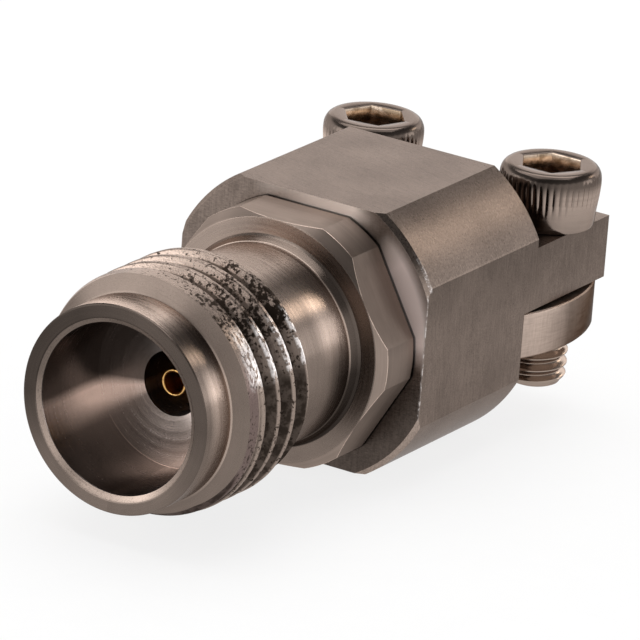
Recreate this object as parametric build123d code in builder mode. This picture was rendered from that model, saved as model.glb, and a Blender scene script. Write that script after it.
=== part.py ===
# Clamp-on edge launch coaxial connector, female.
# Millimetres. The connector's axis is Y, its mouth faces -Y, Z is up.
# The mouth's rim lies on Y = 0 and the axis passes the origin.
from build123d import *
import os

# Main sizes along the axis
body_front = 9.20           # front face of the launch body
body_rear = 14.58           # rear face of the body below the shelf
body_rear_top = 15.05       # rear face of the body above the shelf
shelf_rear = 18.95          # rear end of the shelf
hex_front = 7.55            # front face of the wrench hexagon
hex_gap = 0.08              # open joint between the hexagon and the body

# Launch body
bar_r = 4.51                # turned bar that the body is milled from
flat_half_height = 3.82     # top and bottom flats
side_wall = 0.11            # between a screw's hole and the side flat
bar_chamfer = 0.24          # turned chamfer on the front edge
shelf_under = -0.065        # underside of the shelf, on the board's face
shelf_top = 1.78            # top of the shelf
tunnel_r = 0.50             # air channel over the board's track
body_bore_r = 2.60          # bore that takes the shell's spigot

# Outer conductor with thread and hexagon
nose_r = 2.94               # plain nose in front of the thread
thread_r = 3.45             # M7 x 0.75 thread, crest radius
thread_front = 1.20         # where the thread's shoulder starts
shoulder_length = 0.16      # cone between the nose and the thread
thread_rear = 4.25          # where the thread runs out
runout_length = 0.28        # cone behind the thread
barrel_r = 2.86             # plain barrel behind the thread
flare_r = 3.02              # barrel's widened root at the hexagon
flare_start = 6.45          # where the barrel begins to widen
root_length = 0.16          # last, steeper bit of that widening
root_rise = 0.03            # how much it adds to the radius
hex_flats = 7.00            # wrench size across flats
hex_round_r = 3.75          # turned radius over the corners
hex_chamfer = 0.26          # turned chamfer on the hexagon's front
seat_ring_r = 2.90          # collar that bears on the body
mouth_r = 2.40              # bore for the mating plug's sleeve
mouth_depth = 2.85          # reference plane behind the rim
mouth_lead_r = 2.66         # lead-in at the rim
mouth_lead_length = 0.12
rim_edge = 0.05             # broken outer edge of the rim
line_r = 0.925              # 1.85 mm coaxial line
line_edge = 0.02            # broken edge of the line's mouth
seat_y = 6.00               # front of the support bead's seat
seat_r = 1.45               # radius of the support bead's seat
spigot_end = 12.20          # rear end of the spigot
spigot_chamfer = 0.20       # chamfer on the spigot's end

# Centre conductor
contact_front = 2.88        # front end of the centre contact
contact_r = 0.402           # outer radius of the centre contact
contact_edge = 0.02         # broken edge of its front end
contact_bead_r = 0.30       # reduced radius inside the support bead
contact_rear = 12.35        # rear end of the centre contact
socket_r = 0.262            # hole for the mating pin
socket_lead_r = 0.315       # lead-in of that hole
socket_lead_length = 0.08
socket_cone = 0.12          # drill cone at its bottom
socket_depth = 1.90         # depth of that hole
slot_width = 0.11           # slots between the contact's fingers
slot_length = 1.60          # length of the slots
bead_length = 1.00          # support bead's length
launch_pin_r = 0.09         # pin that lies on the board's track
launch_pin_in = 1.20        # pin length inside the contact
launch_pin_out = 1.15       # pin length behind the body's rear face
launch_pin_edge = 0.03      # chamfer on its free end

# Rear seal
seal_y = 12.50              # front of the seal's seat
seal_length = 1.40          # length of the seal
seal_r = 0.95               # outer radius of the seal's ring
glass_r = 0.49              # outer radius of the glass
exit_r = 0.21               # air line through the body's rear wall

# Clamp bar and its screws
bar_gap = 0.10              # between the shelf's underside and the bar
bar_thickness = 1.34
bar_clearance = 0.08        # between the bar and the body's rear face
bar_set_back = 0.08         # bar's rear face in front of the shelf's
bar_end_r = 3.00            # rounded ends of the bar
bar_end_wall = 0.38         # between a screw's hole and the tip of an end
bar_edge = 0.08             # broken upper edges of the bar
bar_under_edge = 0.04       # broken lower edges of the bar
screw_x = 2.95              # half the spacing of the screws
screw_from_end = 1.65       # screws' distance from the shelf's rear end
shank_r = 0.92              # thread of the screws, crest radius
head_r = 1.45
head_height = 1.72
head_round = 0.30           # rounded top edge of the heads
head_foot_edge = 0.06       # broken lower edge of the heads
screw_tip_z = -3.02         # lower end of the screws
tip_chamfer = 0.18
socket_flats = 1.5875       # hexagon socket in the heads
socket_deep = 0.95
left_turn = 8               # degrees that the left screw stands turned
hole_clearance = 0.05       # around the screws in the shelf
nut_clearance = 0.02        # around the screws in the bar

hex_rear = body_front - hex_gap
bar_top = shelf_under - bar_gap
bar_bottom = bar_top - bar_thickness
bar_front = body_rear + bar_clearance
bar_rear = shelf_rear - bar_set_back
screw_y = shelf_rear - screw_from_end
head_top = shelf_top + head_height
flat_half_width = screw_x + shank_r + hole_clearance + side_wall
bar_half_length = screw_x + shank_r + nut_clearance + bar_end_wall
reach = 4 * bar_r
seal_rear = seal_y + seal_length
ends = {"left": -screw_x, "right": screw_x}

os.makedirs("parts", exist_ok=True)


# Launch body, a turned bar milled to flats with the shelf left on its rear
with BuildPart() as launch_body:
    with BuildSketch(Plane.XZ.offset(-body_front)):
        Circle(bar_r)
    extrude(amount=-(shelf_rear - body_front))
    chamfer(launch_body.edges().group_by(Axis.Y)[0], bar_chamfer)
    with BuildSketch(Plane.XZ.offset(-body_front)):
        Rectangle(2 * flat_half_width, 2 * flat_half_height)
    extrude(amount=-(shelf_rear - body_front), mode=Mode.INTERSECT)
    # space above the shelf
    with BuildSketch(Plane.XY.offset(shelf_top)):
        with Locations((0, (body_rear_top + shelf_rear) / 2)):
            Rectangle(reach, shelf_rear - body_rear_top)
    extrude(amount=reach, mode=Mode.SUBTRACT)
    # space below the shelf
    with BuildSketch(Plane.XY.offset(shelf_under)):
        with Locations((0, (body_rear + shelf_rear) / 2)):
            Rectangle(reach, shelf_rear - body_rear)
    extrude(amount=-reach, mode=Mode.SUBTRACT)
    # the shelf keeps its square section
    with BuildSketch(Plane.XY.offset(shelf_under)):
        with Locations((0, (body_rear + shelf_rear) / 2)):
            Rectangle(2 * flat_half_width, shelf_rear - body_rear)
    extrude(amount=shelf_top - shelf_under)
    # bores from the front: spigot, seal and the line's exit
    with BuildSketch(Plane.XZ.offset(-body_front)):
        Circle(body_bore_r)
    extrude(amount=-(spigot_end - body_front), mode=Mode.SUBTRACT)
    with BuildSketch(Plane.XZ.offset(-spigot_end)):
        Circle(seal_r)
    extrude(amount=-(seal_rear - spigot_end), mode=Mode.SUBTRACT)
    with BuildSketch(Plane.XZ.offset(-seal_rear)):
        Circle(exit_r)
    extrude(amount=-(body_rear - seal_rear), mode=Mode.SUBTRACT)
    # air channel over the track, along the whole shelf
    with BuildSketch(Plane.XZ.offset(-body_rear)):
        Circle(tunnel_r)
    extrude(amount=-(shelf_rear - body_rear), mode=Mode.SUBTRACT)
    # clearance holes for the two screws
    with BuildSketch(Plane.XY.offset(shelf_under)):
        with Locations(*[(x, screw_y) for x in ends.values()]):
            Circle(shank_r + hole_clearance)
    extrude(amount=shelf_top - shelf_under, mode=Mode.SUBTRACT)
launch_body.part.label = "launch_body"
export_step(launch_body.part, "parts/launch_body.step")


# Outer conductor, turned in one piece with thread, hexagon and spigot
shell_profile = [
    (mouth_lead_r, 0),
    (nose_r - rim_edge, 0),
    (nose_r, rim_edge),
    (nose_r, thread_front),
    (thread_r, thread_front + shoulder_length),
    (thread_r, thread_rear),
    (barrel_r, thread_rear + runout_length),
    (barrel_r, flare_start),
    (flare_r, hex_front - root_length),
    (flare_r + root_rise, hex_front),
    (hex_round_r - hex_chamfer, hex_front),
    (hex_round_r, hex_front + hex_chamfer),
    (hex_round_r, hex_rear),
    (seat_ring_r, hex_rear),
    (seat_ring_r, body_front),
    (body_bore_r, body_front),
    (body_bore_r, spigot_end - spigot_chamfer),
    (body_bore_r - spigot_chamfer, spigot_end),
    (seat_r, spigot_end),
    (seat_r, seat_y),
    (line_r, seat_y),
    (line_r, mouth_depth + line_edge),
    (line_r + line_edge, mouth_depth),
    (mouth_r, mouth_depth),
    (mouth_r, mouth_lead_length),
]
with BuildPart() as coax_shell:
    with BuildSketch(Plane.XY):
        with BuildLine():
            Polyline(*shell_profile, close=True)
        make_face()
    revolve(axis=Axis.Y)
    # wrench flats
    with BuildSketch(Plane.XZ.offset(-hex_front)):
        Circle(reach)
        RegularPolygon(hex_flats / 2, 6, major_radius=False, mode=Mode.SUBTRACT)
    extrude(amount=-(hex_rear - hex_front), mode=Mode.SUBTRACT)
coax_shell.part.label = "coax_shell"
export_step(coax_shell.part, "parts/coax_shell.step")


# Centre contact with a slotted socket in front and a blind hole behind
contact_profile = [
    (0, contact_front + socket_depth + socket_cone),
    (socket_r, contact_front + socket_depth),
    (socket_r, contact_front + socket_lead_length),
    (socket_lead_r, contact_front),
    (contact_r - contact_edge, contact_front),
    (contact_r, contact_front + contact_edge),
    (contact_r, seat_y),
    (contact_bead_r, seat_y),
    (contact_bead_r, seat_y + bead_length),
    (contact_r, seat_y + bead_length),
    (contact_r, contact_rear),
    (launch_pin_r, contact_rear),
    (launch_pin_r, contact_rear - launch_pin_in),
    (0, contact_rear - launch_pin_in),
]
with BuildPart() as centre_contact:
    with BuildSketch(Plane.XY):
        with BuildLine():
            Polyline(*contact_profile, close=True)
        make_face()
    revolve(axis=Axis.Y)
    # two crossed slots leave four fingers
    with BuildSketch(Plane.XZ.offset(-contact_front)):
        Rectangle(reach, slot_width)
        Rectangle(slot_width, reach)
    extrude(amount=-slot_length, mode=Mode.SUBTRACT)
centre_contact.part.label = "centre_contact"
export_step(centre_contact.part, "parts/centre_contact.step")


# Support bead that holds the centre contact
with BuildPart() as support_bead:
    with BuildSketch(Plane.XZ.offset(-seat_y)):
        Circle(seat_r)
        Circle(contact_bead_r, mode=Mode.SUBTRACT)
    extrude(amount=-bead_length)
support_bead.part.label = "support_bead"
export_step(support_bead.part, "parts/support_bead.step")


# Sleeve that keeps the bead in its seat and carries the line on
with BuildPart() as line_sleeve:
    with BuildSketch(Plane.XZ.offset(-(seat_y + bead_length))):
        Circle(seat_r)
        Circle(line_r, mode=Mode.SUBTRACT)
    extrude(amount=-(spigot_end - seat_y - bead_length))
line_sleeve.part.label = "line_sleeve"
export_step(line_sleeve.part, "parts/line_sleeve.step")


# Metal ring of the rear seal
with BuildPart() as seal_ring:
    with BuildSketch(Plane.XZ.offset(-seal_y)):
        Circle(seal_r)
        Circle(glass_r, mode=Mode.SUBTRACT)
    extrude(amount=-seal_length)
seal_ring.part.label = "seal_ring"
export_step(seal_ring.part, "parts/seal_ring.step")


# Glass between the ring and the launch pin
with BuildPart() as glass_bead:
    with BuildSketch(Plane.XZ.offset(-seal_y)):
        Circle(glass_r)
        Circle(launch_pin_r, mode=Mode.SUBTRACT)
    extrude(amount=-seal_length)
glass_bead.part.label = "glass_bead"
export_step(glass_bead.part, "parts/glass_bead.step")


# Launch pin, whose rear end lies on the board's track
with BuildPart() as launch_pin:
    with BuildSketch(Plane.XZ.offset(-(contact_rear - launch_pin_in))):
        Circle(launch_pin_r)
    extrude(amount=-(body_rear + launch_pin_out - contact_rear + launch_pin_in))
    chamfer(launch_pin.edges().group_by(Axis.Y)[-1], launch_pin_edge)
launch_pin.part.label = "launch_pin"
export_step(launch_pin.part, "parts/launch_pin.step")


# Clamp bar that presses the board up against the shelf
arc_middle = bar_half_length - bar_end_r
bar_middle = (bar_front + bar_rear) / 2
with BuildPart() as clamp_bar:
    with BuildSketch(Plane.XY.offset(bar_bottom)):
        with Locations((0, bar_middle)):
            SlotCenterToCenter(2 * arc_middle, 2 * bar_end_r)
        with Locations((0, bar_middle)):
            Rectangle(reach, bar_rear - bar_front, mode=Mode.INTERSECT)
    extrude(amount=bar_thickness)
    chamfer(clamp_bar.edges().group_by(Axis.Z)[-1], bar_edge)
    chamfer(clamp_bar.edges().group_by(Axis.Z)[0], bar_under_edge)
    with BuildSketch(Plane.XY.offset(bar_bottom)):
        with Locations(*[(x, screw_y) for x in ends.values()]):
            Circle(shank_r + nut_clearance)
    extrude(amount=bar_thickness, mode=Mode.SUBTRACT)
clamp_bar.part.label = "clamp_bar"
export_step(clamp_bar.part, "parts/clamp_bar.step")


# Socket head screw, turned about the Z axis and then set in place
screw_profile = [
    (0, screw_tip_z),
    (shank_r - tip_chamfer, screw_tip_z),
    (shank_r, screw_tip_z + tip_chamfer),
    (shank_r, shelf_top),
    (head_r - head_foot_edge, shelf_top),
    (head_r, shelf_top + head_foot_edge),
    (head_r, head_top),
    (0, head_top),
]
with BuildPart() as screw_blank:
    with BuildSketch(Plane.XZ):
        with BuildLine():
            Polyline(*screw_profile, close=True)
        make_face()
    revolve(axis=Axis.Z)
    fillet(screw_blank.edges().group_by(Axis.Z)[-1], head_round)
    with BuildSketch(Plane.XY.offset(head_top)):
        RegularPolygon(socket_flats / 2, 6, major_radius=False)
    extrude(amount=-socket_deep, mode=Mode.SUBTRACT)

with BuildPart() as clamp_screw_left:
    add(screw_blank.part.moved(Location((ends["left"], screw_y, 0), (0, 0, left_turn))))
clamp_screw_left.part.label = "clamp_screw_left"
export_step(clamp_screw_left.part, "parts/clamp_screw_left.step")

with BuildPart() as clamp_screw_right:
    add(screw_blank.part.moved(Location((ends["right"], screw_y, 0))))
clamp_screw_right.part.label = "clamp_screw_right"
export_step(clamp_screw_right.part, "parts/clamp_screw_right.step")

pieces = [launch_body, coax_shell, centre_contact, support_bead, line_sleeve, seal_ring, glass_bead,
          launch_pin, clamp_bar, clamp_screw_left, clamp_screw_right]
for piece in pieces:
    size = piece.part.bounding_box().size
    print(piece.part.label, len(piece.part.solids()), round(piece.part.volume, 3),
          [round(v, 3) for v in (size.X, size.Y, size.Z)])
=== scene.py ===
import math
import bpy
import bmesh
from mathutils import Matrix, Vector, noise


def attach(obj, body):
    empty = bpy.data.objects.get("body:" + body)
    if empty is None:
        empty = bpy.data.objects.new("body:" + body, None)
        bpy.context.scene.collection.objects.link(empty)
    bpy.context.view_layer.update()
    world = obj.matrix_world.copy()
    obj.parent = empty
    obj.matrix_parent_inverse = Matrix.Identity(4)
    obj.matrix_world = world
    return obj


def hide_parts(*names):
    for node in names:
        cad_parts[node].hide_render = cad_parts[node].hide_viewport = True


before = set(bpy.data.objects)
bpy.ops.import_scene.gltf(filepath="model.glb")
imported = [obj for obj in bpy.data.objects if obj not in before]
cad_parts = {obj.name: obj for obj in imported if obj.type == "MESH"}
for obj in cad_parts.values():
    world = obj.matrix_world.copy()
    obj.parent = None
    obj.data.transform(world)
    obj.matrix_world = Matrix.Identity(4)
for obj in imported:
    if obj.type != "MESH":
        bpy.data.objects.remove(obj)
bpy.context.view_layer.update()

# Edge launch connector, dressed. Lengths are millimetres until to_object makes them metres.
MM = 0.001
TURN = 2 * math.pi

# Places along the connector's axis, which is Y with the mouth's rim at 0
MOUTH_FLOOR = 2.85
THREAD_FRONT, THREAD_REAR = 1.36, 4.27
BARREL_FRONT, FLARE_START = 4.52, 7.24
BEAD_FRONT, BEAD_REAR = 6.00, 7.00
HEX_FRONT, HEX_REAR = 7.55, 9.12
BODY_FRONT, BODY_REAR, BODY_REAR_TOP, SHELF_REAR = 9.20, 14.58, 15.05, 18.95
SPIGOT_REAR = 12.20
SCREW_Y = 17.30

# Radii about the axis
LINE_R, MOUTH_R, MOUTH_LEAD_R, NOSE_R = 0.925, 2.40, 2.57, 2.94
BARREL_R, FLARE_R, HEX_ROUND_R, COLLAR_R = 2.86, 3.02, 3.75, 2.90
SPIGOT_R, SEAT_R = 2.60, 1.45
BAR_R = 4.51
NEAR_AXIS = 0.001  # a solid profile starts this near to the axis

# Flats, heights and places across the axis
HEX_FLATS = 7.00
BODY_HALF_WIDTH, BODY_HALF_HEIGHT = 4.03, 3.82
SHELF_UNDER, SHELF_TOP = -0.065, 1.78
CLAMP_TOP, CLAMP_BOTTOM = -0.165, -1.505
SCREW_X = 2.95  # each screw's distance from the axis
SHELF_HOLE_R, BAR_HOLE_R = 0.97, 0.94
EDGE = 0.028  # width of a broken edge
BIG_FACE = 1.0e-6  # a face larger than this, in square metres, is flat and shaded flat
FAR = 8.0  # reach of a tool that cuts right through


# Mesh helpers

def add_object(name, data):
    obj = bpy.data.objects.new(name, data)
    bpy.context.scene.collection.objects.link(obj)
    return obj


def to_mesh(name, bm):
    mesh = bpy.data.meshes.new(name)
    bm.to_mesh(mesh)
    bm.free()
    return mesh


def weld(bm, dist):
    bmesh.ops.remove_doubles(bm, verts=bm.verts, dist=dist)
    bmesh.ops.dissolve_degenerate(bm, edges=bm.edges, dist=dist)


def to_object(name, bm, sharp):
    """Turns a bmesh in millimetres into an object in metres, smooth apart from its sharp edges."""
    weld(bm, 2e-4)
    bmesh.ops.recalc_face_normals(bm, faces=bm.faces)
    bmesh.ops.scale(bm, vec=(MM, MM, MM), verts=bm.verts)
    mesh = to_mesh(name, bm)
    mesh.polygons.foreach_set("use_smooth", [True] * len(mesh.polygons))
    mesh.set_sharp_from_angle(angle=math.radians(sharp))
    for face in mesh.polygons:
        face.use_smooth = face.area < BIG_FACE
    return add_object(name, mesh)


def about_y(r, y, t):
    return (r * math.sin(t), y, r * math.cos(t))


def turns(n):
    """Angles that share out a full turn."""
    return [TURN * k / n for k in range(n)]


def add_ring(bm, r, s, n, place=about_y):
    return [bm.verts.new(place(r, s, t)) for t in turns(n)]


def bridge(bm, a, b):
    for k in range(len(a)):
        j = (k + 1) % len(a)
        bm.faces.new((a[k], a[j], b[j], b[k]))


def lathe(profile, n):
    """Turns a closed profile of (radius, length) points round Y into a solid."""
    bm = bmesh.new()
    rings = [add_ring(bm, r, s, n) for r, s in profile]
    for a, b in zip(rings, rings[1:] + rings[:1]):
        bridge(bm, a, b)
    return bm


def prism(outline, low, high, axis):
    """A solid with a plain outline, from low to high along the Y or Z axis."""
    order = {"y": (0, 2, 1), "z": (0, 1, 2)}[axis]
    bm = bmesh.new()
    ends = []
    for level in (low, high):
        ends.append([])
        for a, b in outline:
            point = (a, b, level)
            ends[-1].append(bm.verts.new([point[k] for k in order]))
    bm.faces.new(ends[0])
    bm.faces.new(ends[1])
    bridge(bm, ends[0], ends[1])
    return bm


def block(x0, x1, y0, y1, z0, z1):
    return prism([(x0, y0), (x1, y0), (x1, y1), (x0, y1)], z0, z1, "z")


def disc(cx, cy, r, n):
    return [(cx + r * math.cos(t), cy + r * math.sin(t)) for t in turns(n)]


def loose(bm):
    """A bmesh as a passing object, for a modifier to work on."""
    bmesh.ops.recalc_face_normals(bm, faces=bm.faces)
    return add_object("tool", to_mesh("tool", bm))


def baked(obj):
    return bpy.data.meshes.new_from_object(obj.evaluated_get(bpy.context.evaluated_depsgraph_get()))


def cut(base, *steps):
    """Applies booleans to a bmesh: steps are (operation, tool bmesh)."""
    obj = loose(base)
    for how, tool in steps:
        other = loose(tool)
        m = obj.modifiers.new("cut", "BOOLEAN")
        m.operation = how
        m.solver = "EXACT"
        m.object = other
        mesh = baked(obj)
        obj.modifiers.clear()
        obj.data = mesh
        bpy.data.objects.remove(other)
    out = bmesh.new()
    out.from_mesh(obj.data)
    bpy.data.objects.remove(obj)
    return out


def broken_edges(bm, width=EDGE, segments=2, angle=28.0):
    """Breaks the sharp edges of a bmesh in millimetres."""
    weld(bm, 1e-4)
    obj = loose(bm)
    m = obj.modifiers.new("edges", "BEVEL")
    m.width = width
    m.segments = segments
    m.limit_method = "ANGLE"
    m.angle_limit = math.radians(angle)
    m.miter_outer = "MITER_ARC"
    m.use_clamp_overlap = True
    out = bmesh.new()
    out.from_mesh(baked(obj))
    bpy.data.objects.remove(obj)
    return out


def join(*parts):
    """One bmesh with the faces of several."""
    out = bmesh.new()
    for bm in parts:
        mesh = to_mesh("part", bm)
        out.from_mesh(mesh)
        bpy.data.meshes.remove(mesh)
    return out


def smooth(low, high, v):
    t = min(max((v - low) / (high - low), 0.0), 1.0)
    return t * t * (3 - 2 * t)


def along(points, v):
    """Height of a line through (place, height) points."""
    for (a, p), (b, q) in zip(points, points[1:]):
        if v <= b:
            return p + (q - p) * (v - a) / (b - a) if v > a else p
    return points[-1][1]


def helix(bm, radius, pitch, samples, low, high, n, place):
    """A threaded surface from low to high, its grid laid along the thread.

    radius(s, t) is the radius at a length and an angle, samples are shares of the pitch."""
    first = math.floor((low - pitch) / pitch)
    last = math.ceil(high / pitch) + 1
    starts = [pitch * (i + s) for i in range(first, last + 1) for s in samples]
    turn_rows = len(samples)
    grid = []
    for u in starts:
        row = []
        for k in range(n):
            t = TURN * k / n
            s = min(max(u + pitch * k / n, low), high)
            row.append(bm.verts.new(place(radius(s, t), s, t)))
        grid.append(row)
    for j in range(len(starts) - turn_rows - 1):
        for k in range(n):
            if k < n - 1:
                quad = (grid[j][k], grid[j][k + 1], grid[j + 1][k + 1], grid[j + 1][k])
            else:
                quad = (grid[j][k], grid[j + turn_rows][0], grid[j + turn_rows + 1][0], grid[j + 1][k])
            if len({tuple(round(c, 5) for c in v.co) for v in quad}) > 2:
                bm.faces.new(quad)


# Outer conductor: nose, thread, barrel, hexagon and spigot

CREST, ROOT, PITCH = 3.45, 3.11, 0.75
CREST_AT = 2.08  # length of a crest on the +X side
FADE_FRONT, FADE_REAR = 1.80, 2.30  # the grooves grow to their full depth between these
CREST_WEAR = 0.014
START_DROP, LAND_DROP = 0.17, 0.04  # how much lower the thread's front is where its first turn runs out
LAND_DROP_REAR = 2.20
SHELL_SIDES = 288
HEX_CHAMFER, HEX_EDGE = 0.26, 0.042
INSIDE_R = 2.70  # faces nearer the axis than this, between the lead and the bead, are the mouth's
LEAD_REAR = 0.11

# Half of a groove: distance from the middle of the crest, and depth
GROOVE = [
    (0.0, 0.0), (0.050, 0.0), (0.068, 0.014), (0.250, 0.300), (0.280, 0.330), (0.315, 0.340), (0.375, 0.340),
]

# Share of the drop round the axis, from below over the left side to the top and down the right side
START_SIDE = [(0.0, 1.0), (0.33, 1.0), (0.46, 0.0), (0.80, 0.0), (0.90, 1.0), (1.0, 1.0)]

# The turned faces, as (radius, length), from the thread forward over the nose and back through the mouth
NOSE_PROFILE = [
    (NOSE_R + 0.04, 1.215), (NOSE_R, 1.195), (NOSE_R, 1.16), (NOSE_R, 0.60),
    (NOSE_R, 0.055), (NOSE_R - 0.015, 0.018), (NOSE_R - 0.05, 0.0),
]
MOUTH_PROFILE = [
    (MOUTH_LEAD_R + 0.03, 0.0), (MOUTH_LEAD_R, 0.010), (MOUTH_R + 0.012, 0.105), (MOUTH_R, 0.13),
    (MOUTH_R, 1.0), (MOUTH_R, 2.0), (MOUTH_R, MOUTH_FLOOR), (1.90, MOUTH_FLOOR), (1.40, MOUTH_FLOOR),
]
LINE_PROFILE = [
    (LINE_R, MOUTH_FLOOR), (LINE_R, 4.0), (LINE_R, BEAD_FRONT), (SEAT_R, BEAD_FRONT),
    (SEAT_R, HEX_FRONT + 0.02),
]

# The outside again, from the hexagon forward to the thread
FLARE_PROFILE = [
    (FLARE_R + 0.03, HEX_FRONT + 0.02), (FLARE_R + 0.03, HEX_FRONT + 0.01), (FLARE_R, HEX_FRONT - 0.02),
    (FLARE_R - 0.04, HEX_FRONT - 0.07), (FLARE_R - 0.08, HEX_FRONT - 0.15),
    (BARREL_R + 0.045, FLARE_START + 0.07), (BARREL_R + 0.030, FLARE_START + 0.03),
    (BARREL_R + 0.022, FLARE_START + 0.012),
]
BARREL_PROFILE = [
    (BARREL_R, FLARE_START), (BARREL_R, 6.4), (BARREL_R, 5.5),
    (BARREL_R, BARREL_FRONT + 0.04), (BARREL_R + 0.02, BARREL_FRONT),
]


def start_drop(y, t):
    """How much lower the front of the thread is on the left and below, where its first turn runs out."""
    side = along(START_SIDE, (t / TURN + 0.5) % 1.0)
    start = START_DROP * (1 - smooth(THREAD_FRONT, FADE_FRONT, y))
    land = LAND_DROP * (1 - smooth(FADE_FRONT, LAND_DROP_REAR, y))
    return side * (start + land)


def thread_radius(y, t):
    x = (y - CREST_AT - PITCH * (t - TURN / 4) / TURN) % PITCH
    x = min(x, PITCH - x)
    started = smooth(FADE_FRONT, FADE_REAR, y)
    place = Vector((2.6 * math.sin(t) * CREST, 5.0 * y, 2.6 * math.cos(t) * CREST))
    wear = max(CREST_WEAR * noise.noise(place), 0.0)
    return CREST - started * (along(GROOVE, x) + wear) - start_drop(y, t)


def thread_samples():
    """Shares of the pitch where the thread's grid has a row, so that rows follow the profile's corners."""
    offset = (CREST_AT - PITCH / 4) / PITCH
    places = [x for x, depth in GROOVE] + [0.13, 0.20]
    return sorted({(offset + side * x / PITCH) % 1.0 for x in places for side in (-1, 1)})


def thread_end(bm, y):
    """The ring in which the thread's grid ends."""
    return [bm.verts.new(about_y(thread_radius(y, t), y, t)) for t in turns(SHELL_SIDES)]


def turned_front():
    """The nose, mouth, line and barrel, with the thread between them."""
    bm = bmesh.new()
    profile = NOSE_PROFILE + MOUTH_PROFILE + LINE_PROFILE + FLARE_PROFILE + BARREL_PROFILE
    rings = [thread_end(bm, THREAD_FRONT)]
    rings += [add_ring(bm, r, s, SHELL_SIDES) for r, s in profile]
    rings.append(thread_end(bm, THREAD_REAR))
    for a, b in zip(rings, rings[1:]):
        bridge(bm, a, b)
    helix(bm, thread_radius, PITCH, thread_samples(), THREAD_FRONT, THREAD_REAR, SHELL_SIDES, about_y)
    return bm


def wrench_part():
    """The hexagon with its turned chamfer, the collar and the spigot behind it."""
    profile = [
        (SEAT_R, HEX_FRONT), (HEX_ROUND_R - HEX_CHAMFER, HEX_FRONT), (HEX_ROUND_R, HEX_FRONT + HEX_CHAMFER),
        (HEX_ROUND_R, HEX_REAR), (COLLAR_R, HEX_REAR), (COLLAR_R, BODY_FRONT), (SPIGOT_R, BODY_FRONT),
        (SPIGOT_R, SPIGOT_REAR - 0.20), (SPIGOT_R - 0.20, SPIGOT_REAR), (SEAT_R, SPIGOT_REAR),
    ]
    corner = HEX_FLATS / 2 / math.cos(TURN / 12)
    hexagon = prism(disc(0, 0, corner, 6), 7.0, 13.0, "y")
    return broken_edges(cut(lathe(profile, SHELL_SIDES), ("INTERSECT", hexagon)), HEX_EDGE)


def make_shell():
    obj = to_object("outer_conductor", join(turned_front(), wrench_part()), 12.0)
    for face in obj.data.polygons:
        x, y, z = face.center / MM
        if math.hypot(x, z) < INSIDE_R and LEAD_REAR < y < BEAD_FRONT:
            face.material_index = 1
    return obj


def screw_holes(r, low, high):
    return [("DIFFERENCE", prism(disc(x, SCREW_Y, r, 64), low, high, "z")) for x in (-SCREW_X, SCREW_X)]


# Launch body: a turned bar milled to flats, with the shelf behind

BODY_CHAMFER = 0.14
SHELF_ROOT = 14.40  # the shelf is added from here, inside the body
PAST_FRONT, PAST_REAR, FAR_REAR = 9.0, 19.2, 20.0

# Bores on the axis: radius, sides, front and rear end
BODY_BORES = (
    (SPIGOT_R, 96, PAST_FRONT, SPIGOT_REAR),  # for the spigot
    (0.95, 64, 12.0, 13.9),  # for the seal
    (0.21, 32, 13.7, 15.0),  # for the launch pin
    (0.50, 64, BODY_REAR, PAST_REAR),  # the channel under the shelf
)


def make_body():
    bar = lathe([
        (NEAR_AXIS, BODY_FRONT), (BAR_R - BODY_CHAMFER, BODY_FRONT), (BAR_R, BODY_FRONT + BODY_CHAMFER),
        (BAR_R, SHELF_REAR), (NEAR_AXIS, SHELF_REAR),
    ], 360)
    w, h = BODY_HALF_WIDTH, BODY_HALF_HEIGHT
    steps = [
        ("INTERSECT", block(-w, w, PAST_FRONT, PAST_REAR, -h, h)),
        ("DIFFERENCE", block(-FAR, FAR, BODY_REAR_TOP, FAR_REAR, SHELF_TOP, FAR)),
        ("DIFFERENCE", block(-FAR, FAR, BODY_REAR, FAR_REAR, -FAR, SHELF_UNDER)),
        ("UNION", block(-w, w, SHELF_ROOT, SHELF_REAR, SHELF_UNDER, SHELF_TOP)),
    ]
    for r, sides, front, rear in BODY_BORES:
        steps.append(("DIFFERENCE", prism(disc(0, 0, r, sides), front, rear, "y")))
    steps += screw_holes(SHELF_HOLE_R, -1.0, 3.0)
    return to_object("body_block", broken_edges(cut(bar, *steps)), 5.0)


# Clamp bar: flat front and rear, round ends, broken edges

CLAMP_HALF, CLAMP_END_R, CLAMP_FRONT, CLAMP_REAR = 4.27, 5.00, 14.66, 18.87
CLAMP_END_STEPS = 48

# The bar's side from below: how far its outline is set in, and the height
CLAMP_SIDE = (
    (0.045, CLAMP_BOTTOM), (0.010, CLAMP_BOTTOM + 0.035), (0.0, CLAMP_BOTTOM + 0.055),
    (0.0, CLAMP_TOP - 0.050), (0.006, CLAMP_TOP - 0.036), (0.036, CLAMP_TOP - 0.006), (0.045, CLAMP_TOP),
)


def clamp_outline(inset):
    middle = (CLAMP_FRONT + CLAMP_REAR) / 2
    r = CLAMP_END_R - inset
    reach = math.asin(((CLAMP_REAR - CLAMP_FRONT) / 2 - inset) / r)
    points = []
    for side in (1, -1):
        for k in range(CLAMP_END_STEPS + 1):
            a = side * reach * (2 * k / CLAMP_END_STEPS - 1)
            points.append((side * (CLAMP_HALF - CLAMP_END_R + r * math.cos(a)), middle + r * math.sin(a)))
    return points


def make_clamp():
    bm = bmesh.new()
    loops = [[bm.verts.new((x, y, z)) for x, y in clamp_outline(inset)] for inset, z in CLAMP_SIDE]
    for a, b in zip(loops, loops[1:]):
        bridge(bm, a, b)
    bm.faces.new(loops[0])
    bm.faces.new(loops[-1])
    return to_object("clamp_block", cut(bm, *screw_holes(BAR_HOLE_R, -3.0, 1.0)), 30.0)


# Clamp screws: thread, knurled head and hexagon socket

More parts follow.
